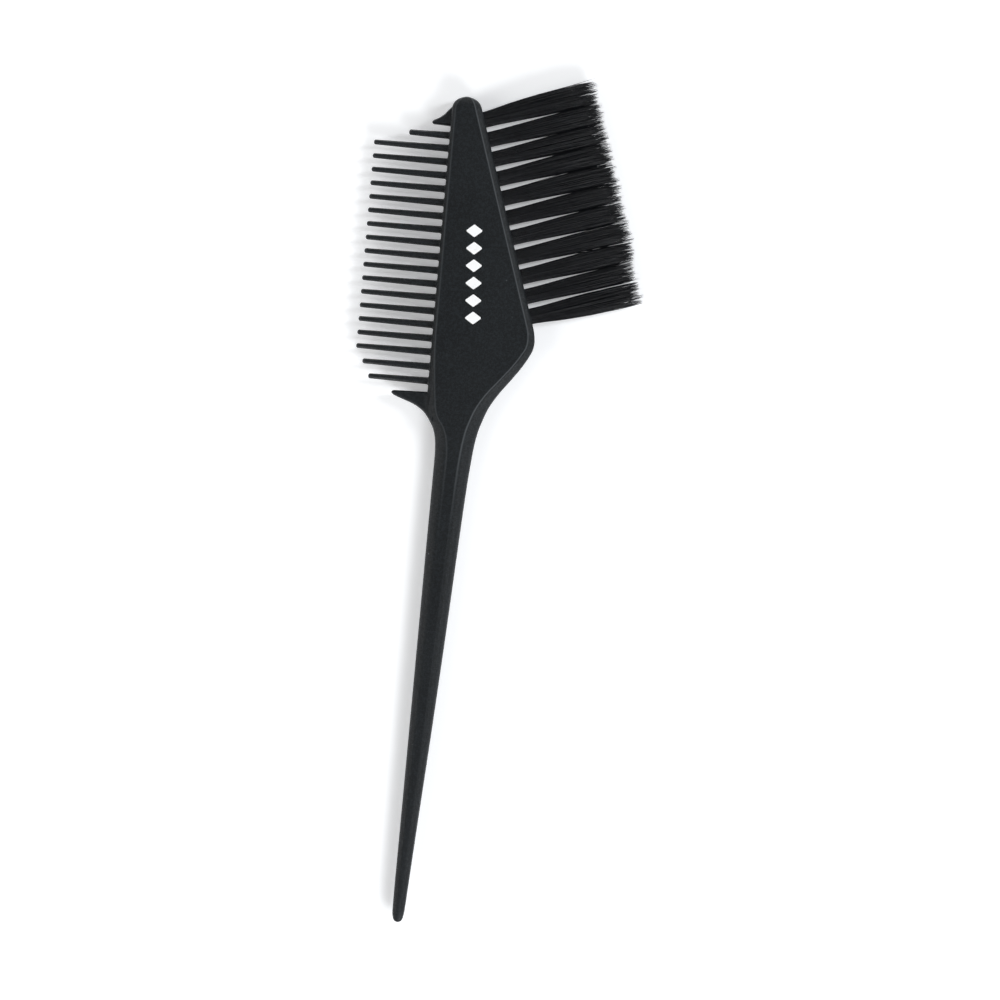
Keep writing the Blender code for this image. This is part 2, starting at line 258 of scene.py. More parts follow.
def moulded_plastic():
    n = material_nodes("black_moulded_plastic")
    cloud = n.noise(scale=60.0, detail=3.0, rough=0.6)
    grain = n.noise(scale=1350.0, detail=4.0, rough=0.65)
    pebble = n.noise(scale=2900.0)
    pits = n.noise(scale=6200.0, rough=0.6)

    # pale specks in a few of the cells, painted in as glints of the grained surface
    cells = n.add("ShaderNodeTexVoronoi", {"Scale": 420.0, "Vector": n.place}).outputs
    channels = n.add("ShaderNodeSeparateColor", {0: cells["Color"]})
    chosen = n.remap(channels.outputs[0], span=(0.90, 0.92))
    dot = n.remap(cells["Distance"], span=(0.05, 0.11), to=(1.0, 0.0))
    glint_speck = n.maths("MULTIPLY", dot, chosen)

    # painted highlight: the corners are painted lighter where light would catch them, and made
    # smoother too
    edge_highlight = n.edges(radius=0.00045, span=(0.985, 0.80))
    # the rim attribute marks where a highlight line is painted along the rims of the top face
    rim = n.add("ShaderNodeAttribute", attribute_name="rim").outputs["Fac"]

    # colour, from the ground up: each pair is how much of a layer shows and its colour
    base = n.mix(
        n.remap(cloud, span=(0.3, 0.7)),
        under=(0.0020, 0.0033, 0.0045), over=(0.0028, 0.0047, 0.0062),
    )
    for amount, colour in (
        (n.remap(grain, span=(0.44, 0.64), to=(0.0, 0.62)), (0.0115, 0.0158, 0.0195)),
        (n.remap(pebble, span=(0.50, 0.66), to=(0.0, 0.55)), (0.0140, 0.0175, 0.0205)),
        (n.remap(pits, span=(0.52, 0.70), to=(0.0, 0.6)), (0.0030, 0.0036, 0.0042)),
        # painted glints: pale specks
        (n.maths("MULTIPLY", glint_speck, 0.5), (0.150, 0.165, 0.180)),
        # painted highlight on the corners
        (n.maths("MULTIPLY", edge_highlight, 0.6), (0.050, 0.057, 0.063)),
        # painted highlight line along the rims of the top face
        (n.maths("MULTIPLY", rim, 0.9), (0.075, 0.083, 0.090)),
    ):
        base = n.mix(amount, under=base, over=colour)

    # corners and rims are smoother than the flats
    rough = n.remap(cloud, span=(0.25, 0.75), to=(0.50, 0.58))
    rough = n.maths("SUBTRACT", rough, n.maths("MULTIPLY", edge_highlight, 0.14))
    rough = n.maths("SUBTRACT", rough, n.maths("MULTIPLY", rim, 0.10))
    rough = n.maths("ADD", rough, n.remap(pebble, span=(0.38, 0.62), to=(0.07, -0.09)))

    normal = n.bump(grain, strength=0.50, distance=0.00008)
    normal = n.bump(pebble, strength=0.70, distance=0.00010, before=normal)
    normal = n.bump(pits, strength=0.50, distance=0.00003, before=normal)
    return n.finish(
        Base_Color=base, Roughness=rough, Normal=normal, Specular_IOR_Level=0.30, IOR=1.5
    )


def nylon():
    n = material_nodes("black_nylon")
    patches = n.noise(scale=700.0)
    fine = n.noise(scale=5200.0, detail=1.0)
    base = n.mix(
        n.remap(patches, span=(0.3, 0.7)),
        under=(0.0022, 0.0026, 0.0040), over=(0.0068, 0.0080, 0.0108),
    )
    return n.finish(
        Base_Color=base, Roughness=n.remap(fine, span=(0.3, 0.7), to=(0.34, 0.48)),
        Specular_IOR_Level=0.30, Normal=n.bump(fine, strength=0.2, distance=0.000008), IOR=1.53,
    )


def drawn_steel():
    n = material_nodes("drawn_steel")
    # stretched along Z into fine lines
    stretch = {"Scale": (9000.0, 9000.0, 500.0), "Vector": n.place}
    stretched = n.add("ShaderNodeMapping", stretch).outputs["Vector"]
    lines = n.noise(scale=1.0, vector=stretched)
    return n.finish(
        Base_Color=n.mix(lines, under=(0.50, 0.49, 0.46), over=(0.66, 0.65, 0.61)),
        Metallic=1.0, Roughness=n.remap(lines, span=(0.3, 0.7), to=(0.26, 0.42)),
        Normal=n.bump(lines, strength=0.3, distance=0.00001),
    )


def white_ink():
    n = material_nodes("white_ink")
    patches = n.noise(scale=900.0, detail=3.0, rough=0.6)
    pits = n.noise(scale=4200.0, rough=0.6)
    base = n.mix(
        n.remap(patches, span=(0.25, 0.45), to=(1.0, 0.0)),
        under=(0.97, 0.975, 0.98), over=(0.86, 0.87, 0.88),
    )
    pitted = n.remap(pits, span=(0.64, 0.80), to=(0.0, 0.25))
    return n.finish(
        Base_Color=n.mix(pitted, under=base, over=(0.40, 0.41, 0.42)),
        Roughness=n.remap(patches, span=(0.3, 0.7), to=(0.42, 0.55)),
        Normal=n.bump(pits, strength=0.4, distance=0.00003), Specular_IOR_Level=0.4,
    )


def pale_floor():
    """A pale table that glows more away from its middle, so shadows stay soft and light."""
    n = material_nodes("pale_floor")
    cloud = n.noise(scale=6.0)
    colour = n.mix(cloud, under=(0.86, 0.87, 0.885), over=(0.885, 0.89, 0.90))
    length = n.add("ShaderNodeVectorMath", {0: n.place}, operation="LENGTH")
    glow = n.remap(length.outputs["Value"], span=(0.25, 2.4), to=(0.35, 0.86))
    return n.finish(
        Base_Color=colour, Roughness=0.75, Specular_IOR_Level=0.1,
        Emission_Color=colour, Emission_Strength=glow,
    )


PLASTIC, NYLON, STEEL, INK = moulded_plastic(), nylon(), drawn_steel(), white_ink()


# ------------------------------------------------------------------------------ handle and head
SPINE_X = -11.4  # straight side of the head that the comb grows from

# from the nose to the tail: Y, X of the left side, X of the right side, thickness,
# width of the rounding at left, at right, and its height
STATIONS = np.array((
    (34.66, -7.66, -7.54, 2.4, 0.05, 0.05, 1.1),
    (34.6, -8.30, -6.90, 3.6, 0.5, 0.5, 1.5),
    (34.3, -9.20, -5.90, 5.0, 0.9, 0.9, 1.6),
    (33.7, -10.20, -4.85, 6.3, 1.0, 1.3, 1.5),
    (32.8, -10.95, -4.05, 7.2, 1.0, 1.6, 1.3),
    (31.6, -11.35, -3.50, 7.6, 0.9, 1.7, 1.1),
    (30.0, SPINE_X, -2.98, 7.6, 0.9, 1.7, 1.1),
    (-20.0, SPINE_X, 13.46, 7.6, 0.9, 1.7, 1.1),
    (-24.47, SPINE_X, 14.93, 7.6, 0.9, 1.7, 1.1),
    (-26.9, SPINE_X, 15.58, 7.6, 0.9, 1.7, 1.1),
    (-28.9, SPINE_X, 15.78, 7.6, 0.9, 1.8, 1.15),
    (-30.7, SPINE_X, 15.55, 7.6, 1.0, 1.9, 1.2),
    (-32.2, SPINE_X, 14.95, 7.6, 1.0, 2.1, 1.3),
    (-35.6, SPINE_X, 13.05, 7.5, 1.2, 2.4, 1.5),
    (-39.5, SPINE_X, 10.30, 7.4, 1.5, 2.7, 1.7),
    (-43.8, SPINE_X, 7.15, 7.2, 1.9, 3.0, 2.0),
    (-47.3, -11.38, 5.10, 7.0, 2.3, 3.1, 2.2),
    (-49.2, -11.22, 4.33, 6.9, 2.5, 3.2, 2.3),
    (-51.1, -10.72, 3.66, 6.8, 2.7, 3.2, 2.4),
    (-53.2, -9.40, 3.00, 6.7, 2.9, 3.2, 2.5),
    (-55.8, -8.48, 2.45, 6.6, 3.0, 3.2, 2.5),
    (-58.5, -8.10, 2.05, 6.5, 3.1, 3.2, 2.5),
    (-61.5, -8.00, 1.75, 6.45, 3.2, 3.2, 2.5),
    (-67.5, -8.03, 1.25, 6.3, 3.1, 3.1, 2.5),
    (-85.0, -8.15, 0.25, 6.1, 2.9, 2.9, 2.4),
    (-105.0, -8.25, -0.80, 5.8, 2.6, 2.6, 2.3),
    (-132.0, -8.40, -2.36, 5.2, 2.1, 2.1, 2.1),
    (-163.0, -8.58, -4.33, 4.2, 1.6, 1.6, 1.7),
    (-178.0, -8.68, -5.25, 3.6, 1.4, 1.4, 1.5),
    (-182.6, -8.66, -5.55, 3.3, 1.3, 1.3, 1.4),
    (-184.5, -8.35, -5.90, 2.7, 1.1, 1.1, 1.2),
    (-185.3, -7.85, -6.40, 1.7, 0.7, 0.7, 0.8),
    (-185.5, -7.16, -7.08, 0.8, 0.04, 0.04, 0.35),
))
# spacing of the rings: at the two ends, where the head narrows, and elsewhere
END_STEP, SHOULDER_STEP, PLAIN_STEP = 0.35, 0.8, 2.5
CORNER_STEPS = 8
HEAD_POWER = 1.5  # under 2, so the flat face ends in a visible rim and not in a soft roll
HANDLE_POWER = 1.95  # the handle's faces roll softly into its sides
MAX_ROUNDING = 0.48  # share of the width that one side's rounding may take
SEAM_WIDTH, SEAM_HEIGHT = 0.10, 0.05  # the fine witness line where the mould's halves meet
SEAM_MIN_THICKNESS = 2.0


def rounded_box(a0, a1, b0, b1, round0, round1, round_b, seam=0.0, power=HEAD_POWER):
    """A rectangle with rounded corners, as (a, b) points, and a fine ridge half-way up both sides.

    The rounding is round0 wide at the a0 side, round1 at the a1 side, and round_b high.
    """
    round0 = min(round0, MAX_ROUNDING * (a1 - a0))
    round1 = min(round1, MAX_ROUNDING * (a1 - a0))
    round_b = min(round_b, 0.46 * (b1 - b0))
    middle = (b0 + b1) / 2
    half_seam = min(SEAM_WIDTH, 0.35 * ((b1 - b0) / 2 - round_b))
    points = []

    def arc(centre_a, centre_b, round_a, start):
        for step in range(CORNER_STEPS + 1):
            turn = math.radians(start + 90 * step / CORNER_STEPS)
            cos, sin = math.cos(turn), math.sin(turn)
            points.append(
                (
                    centre_a + math.copysign(abs(cos) ** (2 / power), cos) * round_a,
                    centre_b + math.copysign(abs(sin) ** (2 / power), sin) * round_b,
                )
            )

    inset = min(0.32, 0.12 * (a1 - a0 - round0 - round1))
    arc(a1 - round1, b1 - round_b, round1, 0)
    points += [(a1 - round1 - inset, b1), (a0 + round0 + inset, b1)]
    arc(a0 + round0, b1 - round_b, round0, 90)
    points += [(a0, middle + half_seam), (a0 - seam, middle), (a0, middle - half_seam)]
    arc(a0 + round0, b0 + round_b, round0, 180)
    arc(a1 - round1, b0 + round_b, round1, 270)
    points += [(a1, middle - half_seam), (a1 + seam, middle), (a1, middle + half_seam)]
    return points


def ring_places(reach):
    """Where the rings stand along the outline; reach is each station's distance along it."""
    places = []
    for i, gap in enumerate(np.diff(reach)):
        y = (STATIONS[i, 0] + STATIONS[i + 1, 0]) / 2
        at_end = y > 31 or y < -181
        at_shoulder = -64 < y <= -21
        step = END_STEP if at_end else SHOULDER_STEP if at_shoulder else PLAIN_STEP
        count = max(2 if at_end else 1, math.ceil(gap / step))
        places += [reach[i] + (reach[i + 1] - reach[i]) * k / count for k in range(count)]
    return places + [reach[-1]]


def handle_and_head():
    steps = np.sqrt((np.diff(STATIONS[:, :4], axis=0) ** 2).sum(1))
    reach = np.concatenate([[0], np.cumsum(steps)])
    columns = [pchip(reach, column) for column in STATIONS.T]
    rings = []
    for place in ring_places(reach):
        y, left, right, thick, *rounding = (float(column(place)) for column in columns)
        on_handle = float(smoothstep((-50 - y) / 30))
        ring = rounded_box(
            left, right, MID - thick / 2, MID + thick / 2, *rounding,
            seam=SEAM_HEIGHT if thick > SEAM_MIN_THICKNESS else 0.0,
            power=HEAD_POWER + (HANDLE_POWER - HEAD_POWER) * on_handle,
        )
        rings.append([(a, y, b) for a, b in ring])
    return lofted(rings)


# ------------------------------------------------------------------------------ comb
TEETH = 19  # numbered from the nose
TOOTH_PITCH = 3.623
TOOTH_FIRST_Y = 24.3
TOOTH_TIP_X = -31.4
TOOTH_ROOT_HALF, TOOTH_TIP_HALF = 0.96, 0.65  # half-widths
TOOTH_DEEPER = 1.992  # half-depth of a tooth beside its half-width
SHORT_TEETH = {1: -22.3, 18: -29.4, 19: -27.5}  # X of their tips
TOOTH_SHIFT = {1: -0.2, 18: -0.3, 19: -0.5}  # along Y
TOOTH_FILLET = 0.5
# a tooth's section as shares of its half-width and half-depth: a narrow land on each face, sloping
# flanks, and the widest point on the parting plane
TOOTH_PROFILE = (
    (0.17, 1.0), (0.31, 0.965), (0.42, 0.875), (0.60, 0.655), (0.77, 0.405), (0.93, 0.13), (1.0, 0.0),
)
# rings of a tooth, as distances from the spine, and then from the tip
TOOTH_ROOT_RINGS = (-1.8, -0.05, 0.02, 0.07, 0.14, 0.23, 0.34, 0.5)
TOOTH_TIP_RINGS = (1.0, 0.75, 0.52, 0.34, 0.2, 0.1, 0.035, 0.0)


def tip_shrink(to_tip, rounding, power):
    """How far a tooth's section has shrunk, this near its rounded tip."""
    if to_tip >= rounding:
        return 1.0
    return (1 - (1 - max(to_tip, 0.012) / rounding) ** power) ** (1 / power)


def comb_tooth(number):
    centre = TOOTH_FIRST_Y - TOOTH_PITCH * (number - 1) + TOOTH_SHIFT.get(number, 0.0)
    length = SPINE_X - SHORT_TEETH.get(number, TOOTH_TIP_X)
    share = length / (SPINE_X - TOOTH_TIP_X)
    tip_half = TOOTH_ROOT_HALF + (TOOTH_TIP_HALF - TOOTH_ROOT_HALF) * share**0.5
    side = list(TOOTH_PROFILE) + [(a, -b) for a, b in reversed(TOOTH_PROFILE[:-1])]
    outline = side + [(-a, b) for a, b in reversed(side)]
    distances = [
        *TOOTH_ROOT_RINGS, *np.linspace(1.4, length - 1.3, 8),
        *(length - to_tip for to_tip in TOOTH_TIP_RINGS),
    ]
    rings = []
    for distance in distances:
        along = min(max(distance / length, 0.0), 1.0)
        half = TOOTH_ROOT_HALF + (tip_half - TOOTH_ROOT_HALF) * along
        flare = 0.0
        if distance < TOOTH_FILLET:
            inward = TOOTH_FILLET - max(distance, 0.0)
            flare = TOOTH_FILLET - math.sqrt(max(TOOTH_FILLET**2 - inward**2, 0.0))
        to_tip = length - distance
        half_y = half * tip_shrink(to_tip, rounding=0.55, power=2.3) + flare
        half_z = half * TOOTH_DEEPER * tip_shrink(to_tip, rounding=1.05, power=2.1) + flare
        rings.append(
            [(SPINE_X - distance, centre + a * half_y, MID + b * half_z) for a, b in outline]
        )
    return lofted(rings)


GUARD_ROOT_X, GUARD_STEP = -9.7, 0.35
GUARD_ROUNDING = (0.62, 0.62, 0.95)  # width at both sides, and height
GUARD_CAP_ANGLES = (0, 18, 34, 48, 60, 70, 78, 84, 88)


def guard(low, high, half_depth, tip_x, tip_y, cap):
    """An end guard of the comb, lofted from the spine out to its tip, rounded over cap."""
    xs = list(np.arange(GUARD_ROOT_X, tip_x + cap + 0.2, -GUARD_STEP)) + [
        tip_x + cap * (1 - math.sin(math.radians(angle))) for angle in GUARD_CAP_ANGLES
    ]
    rings = []
    for x in xs:
        into_cap = max(0.0, 1 - (x - tip_x) / cap)
        factor = math.sqrt(max(1 - into_cap**2, 0.0006))
        y0 = tip_y + (float(low(x)) - tip_y) * factor
        y1 = tip_y + (float(high(x)) - tip_y) * factor
        half = float(half_depth(x)) * (0.35 + 0.65 * factor)
        ring = rounded_box(y0, y1, MID - half, MID + half, *GUARD_ROUNDING)
        rings.append([(x, a, b) for a, b in ring])
    return lofted(rings)


def tail_guard():
    return guard(
        low=pchip(
            [-9.6, -10.3, -11.5, -12.95, -15.1, -18.1, -20.3, -21.1],
            [-52.4, -51.75, -50.22, -48.95, -47.76, -46.72, -45.88, -45.5],
        ),
        high=pchip([-9.6, -20.45, -21.1], [-44.3, -44.62, -44.66]),
        half_depth=pchip([-9.6, -10.8, -12.4, -15.5, -21.1], [2.75, 2.3, 1.85, 1.65, 1.4]),
        tip_x=-21.0, tip_y=-45.18, cap=0.75,
    )


def nose_guard():
    return guard(
        low=pchip([-9.6, -16.5], [26.6, 26.78]),
        high=pchip(
            [-9.6, -11.0, -12.2, -13.3, -14.7, -15.8, -16.5],
            [32.9, 32.1, 30.9, 29.6, 28.5, 27.95, 27.7],
        ),
        half_depth=pchip([-9.6, -10.8, -12.4, -16.5], [2.5, 2.1, 1.75, 1.4]),
        tip_x=-16.4, tip_y=27.28, cap=0.6,
    )


# ------------------------------------------------------------------------------ tuft holes
# the row of tufts, read from the frame: each tuft's axis starts at its buried end
EDGE_TILT = math.radians(18.2)
OUT = np.array((math.cos(EDGE_TILT), math.sin(EDGE_TILT), 0.0))
ALONG = np.array((-math.sin(EDGE_TILT), math.cos(EDGE_TILT), 0.0))  # towards the nose
UP = np.array((0.0, 0.0, 1.0))
TUFTS = sorted(name for name in nodes if name.startswith("bristle_tuft_"))
BURIED = 6.5
HOLE_RADIUS, HOLE_DEPTH, HOLE_SIDES = 2.25, 7.0, 36
MOUTH_RADIUS = HOLE_RADIUS + 0.20
# distance out from the mouth, and radius: a cone, the bore, and a broken edge at the mouth
HOLE_RINGS = (
    (-HOLE_DEPTH - 0.35, 0.25), (-HOLE_DEPTH, 1.9), (-HOLE_DEPTH + 0.25, HOLE_RADIUS),
    (-0.24, HOLE_RADIUS), (-0.10, HOLE_RADIUS + 0.06), (0.02, MOUTH_RADIUS), (3.0, MOUTH_RADIUS),
)
ANCHOR_DEPTH = 4.9
ANCHOR_HALVES = (2.7, 0.225, 0.8)  # across the hole, along the row and along the hole
ANCHOR_CLEARANCE = 0.1


def mouth_of(name):
    """The middle of the mouth of this tuft's hole."""
    points = mesh_points(nodes[name].data)
    reach = points @ OUT
    buried_end = points[reach < reach.min() + 0.02]
    return buried_end.mean(0) + OUT * BURIED


MOUTHS = [mouth_of(name) for name in TUFTS]


def hole_cutter(mouth):
    angles = np.linspace(0, 2 * math.pi, HOLE_SIDES, endpoint=False)
    return lofted(
        [
            [
                mouth + OUT * distance + (ALONG * math.cos(a) + UP * math.sin(a)) * radius
                for a in angles
            ]
            for distance, radius in HOLE_RINGS
        ]
    )


def anchor_pocket(mouth):
    """The slot that an anchor cuts in the walls of its hole, a little clear of it."""
    across, along_row, deep = (half + ANCHOR_CLEARANCE for half in ANCHOR_HALVES)
    middle = mouth - OUT * ANCHOR_DEPTH
    return lofted(
        [
            [
                middle + OUT * distance + ALONG * along_row * a + UP * across * b
                for a, b in ((1, 1), (-1, 1), (-1, -1), (1, -1))
            ]
            for distance in (-deep, deep)
        ]
    )


# ------------------------------------------------------------------------------ the moulding
RIM_REACH = 0.22  # how far the painted highlight reaches to each side of a rim
RIM_DEPTH = 0.10  # and below the top face
LEFT_RIM_SHARE = 0.45
HANDLE_RIM_SHARE = 0.10


def mark_rims(mesh):
    """Stores how near each point is to the rim of the top face, where a highlight line is painted."""
    station_y, left, right, thick, round_left, round_right, _ = STATIONS.T
    widest = MAX_ROUNDING * (right - left)
    right_rim = pchip(station_y, right - np.minimum(round_right, widest))
    left_rim = pchip(station_y, left + np.minimum(round_left, widest))
    top = pchip(station_y, MID + thick / 2)
    x, y, z = mesh_points(mesh).T
    on_top = z > top(y) - RIM_DEPTH
    to_right = np.clip(1 - np.abs(x - right_rim(y)) / RIM_REACH, 0, 1)
    to_left = np.clip(1 - np.abs(x - left_rim(y)) / RIM_REACH, 0, 1)
    # the painted highlight fades along the handle
    strength = HANDLE_RIM_SHARE + (1 - HANDLE_RIM_SHARE) * smoothstep((y + 85) / 35)
    values = np.where(on_top, np.maximum(to_right, LEFT_RIM_SHARE * to_left), 0.0) * strength
    layer = mesh.attributes.new("rim", "FLOAT", "POINT")
    layer.data.foreach_set("value", values.astype(np.float32))


def build_moulding():
    made = solid_object("moulded_body", [handle_and_head()])
    teeth = [comb_tooth(number) for number in range(1, TEETH + 1)]
    combine(made, teeth + [tail_guard(), nose_guard()], "UNION")
    combine(made, [hole_cutter(mouth) for mouth in MOUTHS], "DIFFERENCE")
    combine(made, [anchor_pocket(mouth) for mouth in MOUTHS], "DIFFERENCE")
    bm = bmesh.new()
    bm.from_mesh(made.data)
    bmesh.ops.remove_doubles(bm, verts=bm.verts, dist=2e-7)
    bmesh.ops.dissolve_degenerate(bm, dist=1e-7, edges=bm.edges)
    bmesh.ops.recalc_face_normals(bm, faces=bm.faces)
    bm.to_mesh(made.data)
    bm.free()
    mark_rims(made.data)
    made.data.materials.clear()
    made.data.materials.append(PLASTIC)
    made.data.shade_smooth()
    made.data.set_sharp_from_angle(angle=math.radians(34))
    weighted = made.modifiers.new("even_shading", "WEIGHTED_NORMAL")
    weighted.keep_sharp = True
    weighted.weight = 60
    return made


moulding = build_moulding()
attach(moulding, "root")
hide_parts("handle_and_comb")


# ------------------------------------------------------------------------------ the tufts
BRISTLE_LENGTH = 30.5
SHORTER = {1: 0.9, 2: 1.0, 3: 0.4}
PAIRS = 152  # filaments in a tuft, each folded in half, so twice as many ends
FILAMENT = 0.098  # radius
TIP_SHARE, TAPER_LENGTH = 0.20, 5.5  # radius of a free end as a share, and how far it tapers
ANCHOR_GAP = 0.13  # half the strip that the anchor keeps clear, as a share of the hole's radius
CLUMPS = 46  # that the free ends of a tuft draw into
MAX_HALF_DEPTH = 3.55
# stations of half a filament, as shares of its free length
ARM_STATIONS = np.array([0.0, 0.035, 0.12, 0.25, 0.39, 0.53, 0.67, 0.79, 0.89, 0.96, 1.0])
FOLD_STATIONS = (0.0, 0.22, 0.5, 0.78, 1.0)  # of the half-turn below the anchor
FOLD_BELOW_ANCHOR = 0.75
FOLD_SHRINK = 0.98

# a tuft's shape by distance out from the mouth: half-depth, power of its squarish section,
# and how far the outer flank of an end tuft leans out
HALF_DEPTH = pchip(
    [-6, 0.6, 6, 12, 19, 25, 28.4, 31.5], [2.02, 2.02, 2.4, 2.75, 3.05, 3.02, 2.5, 1.9]
)
SQUARE = pchip([-6, 0.6, 6, 12, 19, 31.5], [2.0, 2.0, 2.25, 2.6, 3.0, 3.0])
FLARE = pchip([-6, 0.6, 6, 12, 19, 25, 31.5], [0, 0.12, 0.55, 0.75, 0.85, 0.95, 1.05])
FULL_HALF_WIDTH = 2.64
TIGHT = {1: 2.50, 2: 2.50, 3: 2.54, 4: 2.58}  # half-widths of the tufts whose gaps stay open


def half_width(number):
    full = TIGHT.get(number, FULL_HALF_WIDTH)
    return pchip(
        [-6, 0.6, 4.5, 6, 7.5, 9, 12, 15, 18, 31.5],
        [2.02, 2.01, 2.02, 2.08, 2.17, 2.25, 2.35, 2.48, full - 0.05, full],
    )


def packed_spots():
    """Where the filaments stand in one half of a hole, beside the anchor, on a unit disc."""
    i, total, spots = 0, PAIRS * 2 * 1.19, []
    while len(spots) < PAIRS:
        radius = math.sqrt((i + 0.5) / total)
        p, q = radius * math.cos(i * GOLDEN_ANGLE), radius * math.sin(i * GOLDEN_ANGLE)
        if p > ANCHOR_GAP and radius < 1.0:
            spots.append((p, q))
        i += 1
        if i > total:  # too few fitted, so pack them closer and start again
            total *= 1.03
            i, spots = 0, []
    return np.array(spots)


def clump_centres(rng):
    order = np.arange(CLUMPS)
    angle = order * GOLDEN_ANGLE + rng.uniform(0, 6.28)
    radius = np.sqrt((order + 0.5) / CLUMPS) * 1.02
    centres = np.stack([radius * np.cos(angle), radius * np.sin(angle)], 1)
    return centres + rng.normal(0, 0.05, (CLUMPS, 2))


def tuft_paths(number, rng):
    """Centre lines and radii of one tuft's folded filaments, in its own axes (ALONG, UP, OUT)."""
    width_at = half_width(number)
    length = BRISTLE_LENGTH - SHORTER.get(number, 0.0)
    outer_side = {1: -1, len(TUFTS): 1}.get(number, 0)  # the open flank of an end tuft
    spots = packed_spots() + rng.normal(0, 0.012, (PAIRS, 2))
    centres = clump_centres(rng)
    clump_reach = rng.normal(0, 0.45, CLUMPS)

    def arm(side):
        """One half of every filament, from the mouth to its free end."""

        def spread(sigma):
            return rng.normal(0, sigma, PAIRS)[:, None]

        # the halves close up above the anchor
        p = side * (np.abs(spots[:, 0]) - ANCHOR_GAP) / (1 - ANCHOR_GAP) + side * 0.02
        q = spots[:, 1]
        nearest = np.argmin(
            (p[:, None] - centres[None, :, 0]) ** 2 + (q[:, None] - centres[None, :, 1]) ** 2, 1
        )

        # uneven ends, shorter towards the upper and lower faces
        reach = length + clump_reach[nearest] + rng.normal(0, 0.34, PAIRS)
        reach -= 3.9 * np.clip((np.abs(q) - 0.30) / 0.70, 0, 1) ** 1.35
        reach -= rng.exponential(0.35, PAIRS) * (rng.random(PAIRS) < 0.4)
        reach = np.minimum(reach, length + 1.1)[:, None]
        out = reach * ARM_STATIONS[None, :]

        # the round hole's section swells into a squarish one
        width, depth, power = width_at(out), HALF_DEPTH(out), SQUARE(out)
        angle = np.arctan2(q, p)[:, None]
        radius = np.minimum(np.hypot(p, q), 1.0)[:, None]
        fit = (np.abs(np.cos(angle)) ** power + np.abs(np.sin(angle)) ** power) ** (-1 / power)
        lean = 1 + FLARE(out) / width

        def flared(values):
            return np.where(values * outer_side > 0, values * lean, values)

        along = flared(width * radius * np.cos(angle) * fit)
        up = depth * radius * np.sin(angle) * fit

        # the ends draw together into clumps
        clump_along = flared(width * centres[nearest, 0][:, None])
        clump_up = depth * centres[nearest, 1][:, None]
        pull = 0.62 * smoothstep((out - 0.80 * length) / (0.22 * length))
        along += (clump_along - along) * pull
        up += (clump_up - up) * pull * 0.8

        # each filament's own bend and wave, and a few that stray
        share = out / length
        stray = (rng.random(PAIRS) < 0.022)[:, None]
        bend_along = spread(0.17) * np.where(stray, 4.0, 1.0)
        bend_up = spread(0.17) * np.where(stray, 2.0, 1.0)
        wave_along, wave_up = spread(0.05), spread(0.05)
        phase = rng.uniform(0, 6.28, PAIRS)[:, None]
        along += bend_along * share**2 + wave_along * np.sin(phase + 7 * share) * share
        up += bend_up * share**2 + wave_up * np.cos(phase + 6 * share) * share
        up = np.clip(up, -MAX_HALF_DEPTH, MAX_HALF_DEPTH)

        taper = np.clip((reach - out) / TAPER_LENGTH, 0, 1)
        radii = FILAMENT * (TIP_SHARE + (1 - TIP_SHARE) * taper**0.75)
        return np.stack([along, up, out], 2), radii

    nose_arm, nose_radii = arm(1.0)
    tail_arm, tail_radii = arm(-1.0)

    # inside the hole: straight down past the anchor, then round below it
    start, end = nose_arm[:, 0, :], tail_arm[:, 0, :]
    middle = (start[:, 0] + end[:, 0]) / 2
    half = (start[:, 0] - end[:, 0]) / 2
    fold = []
    for share in FOLD_STATIONS:
        turn = math.pi * share
        along = middle + half * math.cos(turn) * FOLD_SHRINK
        up = (start[:, 1] * (1 - share) + end[:, 1] * share) * FOLD_SHRINK
        sag = (0.15 + 0.32 * np.abs(half)) * math.sin(turn)
        fold.append(np.stack([along, up, -(ANCHOR_DEPTH + FOLD_BELOW_ANCHOR) - sag], 1))
    path = np.concatenate([nose_arm[:, ::-1, :], np.stack(fold, 1), tail_arm], 1)
    fold_radii = np.full((PAIRS, len(FOLD_STATIONS)), FILAMENT)
    return path, np.concatenate([nose_radii[:, ::-1], fold_radii, tail_radii], 1)


def tubes(path, radii):
    """Closed four-sided tubes along many centre lines at once."""
    count, stations, _ = path.shape
    tangent = np.gradient(path, axis=1)
    tangent /= np.linalg.norm(tangent, axis=2, keepdims=True)
    upward = np.zeros_like(path)
    upward[:, :, 1] = 1.0  # the tuft's own up, which no filament runs along
    side = np.cross(upward, tangent)
    side /= np.linalg.norm(side, axis=2, keepdims=True)
    over = np.cross(tangent, side)
    corners = []
    for half_turns in (0.25, 0.75, 1.25, 1.75):
        cos, sin = math.cos(half_turns * math.pi), math.sin(half_turns * math.pi)
        corners.append(path + (side * cos + over * sin) * radii[:, :, None])
    verts = np.stack(corners, 2)  # tube, station, corner, xyz
    base = np.arange(count)[:, None, None] * (stations * 4)
    station = np.arange(stations - 1)[None, :, None] * 4
    corner = np.arange(4)[None, None, :]
    here = base + station + corner
    beside = base + station + (corner + 1) % 4
    quads = np.stack([here, beside, beside + 4, here + 4], 3).reshape(-1, 4)
    first = base[:, 0, 0]
    last = first + (stations - 1) * 4
    start_caps = np.stack([first + 3, first + 2, first + 1, first], 1)
    end_caps = np.stack([last, last + 1, last + 2, last + 3], 1)
    return verts.reshape(-1, 3), np.vstack([quads, start_caps, end_caps])


def quad_mesh(name, verts, quads):
    """A mesh of quads only, filled in bulk because there are so many."""
    mesh = bpy.data.meshes.new(name)
    mesh.vertices.add(len(verts))
    mesh.vertices.foreach_set("co", (verts * MM).astype(np.float32).ravel())
    mesh.loops.add(quads.size)
    mesh.loops.foreach_set("vertex_index", quads.astype(np.int32).ravel())
    mesh.polygons.add(len(quads))
    mesh.polygons.foreach_set("loop_start", np.arange(0, quads.size, 4, dtype=np.int32))
    mesh.update(calc_edges=True)
    mesh.validate()
    return mesh


